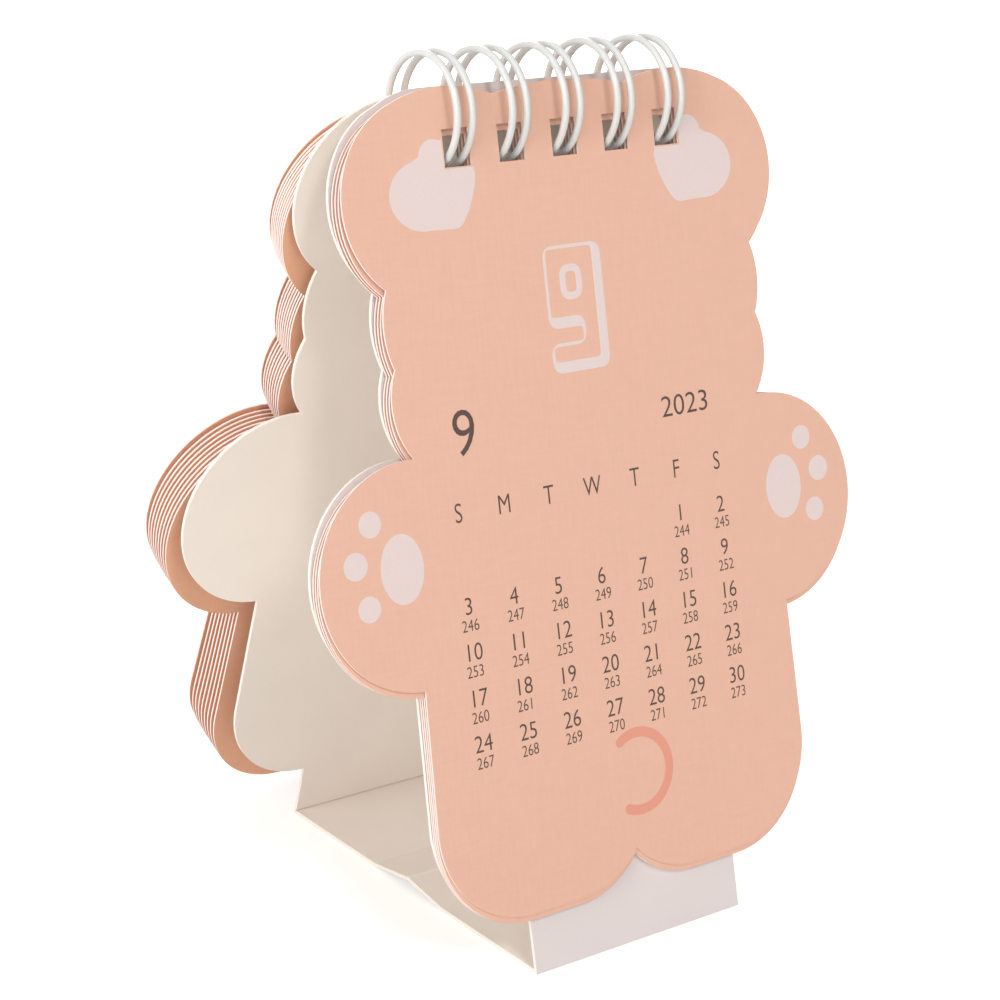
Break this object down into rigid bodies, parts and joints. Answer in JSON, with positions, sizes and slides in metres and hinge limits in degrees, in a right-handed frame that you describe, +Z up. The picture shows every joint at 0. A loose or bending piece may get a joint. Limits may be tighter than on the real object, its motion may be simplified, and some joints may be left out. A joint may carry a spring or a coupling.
{
  "type": "flip desk calendar",
  "caption": "Small die-cut flip calendar: shaped paper leaves on a twin-loop wire across the top of a folding card tent stand.",
  "frame": {"origin": "centre of the bounding box at the table, under the middle of the stand's depth", "axes": "+Z up, -Y towards the side whose leaves are read, +X to the reader's right along the wire"},
  "size_m": [0.088, 0.0686, 0.1147],
  "materials": {
    "card_stand": "stiff matt paperboard, cream inside and pale lilac outside",
    "leaf_paper": "matt printed paper, peach",
    "coated_wire": "white plastic-coated steel wire"
  },
  "bodies": {
    "front_panel": {"front_panel": "card_stand"},
    "rear_panel": {"rear_panel": "card_stand"},
    "base_front": {"base_front": "card_stand"},
    "base_rear": {"base_rear": "card_stand"},
    "wire_binding": {"wire_binding": "coated_wire"},
    "front_leaf_1": {"front_leaf_1": "leaf_paper"},
    "front_leaf_2": {"front_leaf_2": "leaf_paper"},
    "front_leaf_3": {"front_leaf_3": "leaf_paper"},
    "front_leaf_4": {"front_leaf_4": "leaf_paper"},
    "rear_leaf_1": {"rear_leaf_1": "leaf_paper"},
    "rear_leaf_2": {"rear_leaf_2": "leaf_paper"},
    "rear_leaf_3": {"rear_leaf_3": "leaf_paper"},
    "rear_leaf_4": {"rear_leaf_4": "leaf_paper"},
    "rear_leaf_5": {"rear_leaf_5": "leaf_paper"},
    "rear_leaf_6": {"rear_leaf_6": "leaf_paper"},
    "rear_leaf_7": {"rear_leaf_7": "leaf_paper"},
    "rear_leaf_8": {"rear_leaf_8": "leaf_paper"},
    "rear_leaf_9": {"rear_leaf_9": "leaf_paper"}
  },
  "joints": [
    {"name": "rear_panel_fold", "type": "hinge", "parent": "front_panel", "child": "rear_panel", "pos_m": [0, -0.00499, 0.10687], "axis": [-1, 0, 0], "range_deg": [0, 22]},
    {"name": "wire_turn", "type": "hinge", "parent": "front_panel", "child": "wire_binding", "pos_m": [0, -0.00499, 0.10687], "axis": [-1, 0, 0], "range_deg": [0, 11]},
    {"name": "base_front_fold", "type": "hinge", "parent": "front_panel", "child": "base_front", "pos_m": [0, -0.0343, 0], "axis": [-1, 0, 0], "range_deg": [0, 87.78]},
    {"name": "base_middle_fold", "type": "hinge", "parent": "base_front", "child": "base_rear", "pos_m": [0, -0.00549, 0.00171], "axis": [1, 0, 0], "range_deg": [0, 156.2]},
    {"name": "front_leaf_4_turn", "type": "hinge", "parent": "front_panel", "child": "front_leaf_4", "pos_m": [0, -0.00499, 0.10687], "axis": [-1, 0, 0], "range_deg": [0, 5]},
    {"name": "front_leaf_3_turn", "type": "hinge", "parent": "front_leaf_4", "child": "front_leaf_3", "pos_m": [0, -0.00499, 0.10687], "axis": [-1, 0, 0], "range_deg": [0, 5]},
    {"name": "front_leaf_2_turn", "type": "hinge", "parent": "front_leaf_3", "child": "front_leaf_2", "pos_m": [0, -0.00499, 0.10687], "axis": [-1, 0, 0], "range_deg": [0, 5]},
    {"name": "front_leaf_1_turn", "type": "hinge", "parent": "front_leaf_2", "child": "front_leaf_1", "pos_m": [0, -0.00499, 0.10687], "axis": [-1, 0, 0], "range_deg": [0, 65]},
    {"name": "rear_leaf_1_turn", "type": "hinge", "parent": "rear_panel", "child": "rear_leaf_1", "pos_m": [0, -0.00499, 0.10687], "axis": [1, 0, 0], "range_deg": [0, 2]},
    {"name": "rear_leaf_2_turn", "type": "hinge", "parent": "rear_leaf_1", "child": "rear_leaf_2", "pos_m": [0, -0.00499, 0.10687], "axis": [1, 0, 0], "range_deg": [0, 2]},
    {"name": "rear_leaf_3_turn", "type": "hinge", "parent": "rear_leaf_2", "child": "rear_leaf_3", "pos_m": [0, -0.00499, 0.10687], "axis": [1, 0, 0], "range_deg": [0, 2]},
    {"name": "rear_leaf_4_turn", "type": "hinge", "parent": "rear_leaf_3", "child": "rear_leaf_4", "pos_m": [0, -0.00499, 0.10687], "axis": [1, 0, 0], "range_deg": [0, 2]},
    {"name": "rear_leaf_5_turn", "type": "hinge", "parent": "rear_leaf_4", "child": "rear_leaf_5", "pos_m": [0, -0.00499, 0.10687], "axis": [1, 0, 0], "range_deg": [0, 2]},
    {"name": "rear_leaf_6_turn", "type": "hinge", "parent": "rear_leaf_5", "child": "rear_leaf_6", "pos_m": [0, -0.00499, 0.10687], "axis": [1, 0, 0], "range_deg": [0, 2]},
    {"name": "rear_leaf_7_turn", "type": "hinge", "parent": "rear_leaf_6", "child": "rear_leaf_7", "pos_m": [0, -0.00499, 0.10687], "axis": [1, 0, 0], "range_deg": [0, 2]},
    {"name": "rear_leaf_8_turn", "type": "hinge", "parent": "rear_leaf_7", "child": "rear_leaf_8", "pos_m": [0, -0.00499, 0.10687], "axis": [1, 0, 0], "range_deg": [0, 2]},
    {"name": "rear_leaf_9_turn", "type": "hinge", "parent": "rear_leaf_8", "child": "rear_leaf_9", "pos_m": [0, -0.00499, 0.10687], "axis": [1, 0, 0], "range_deg": [0, 12]}
  ],
  "couplings": [
    {"joint": "wire_turn", "follows": "rear_panel_fold", "ratio": 0.5},
    {"joint": "base_front_fold", "follows": "rear_panel_fold", "ratio": 3.99},
    {"joint": "base_middle_fold", "follows": "rear_panel_fold", "ratio": 7.1}
  ]
}
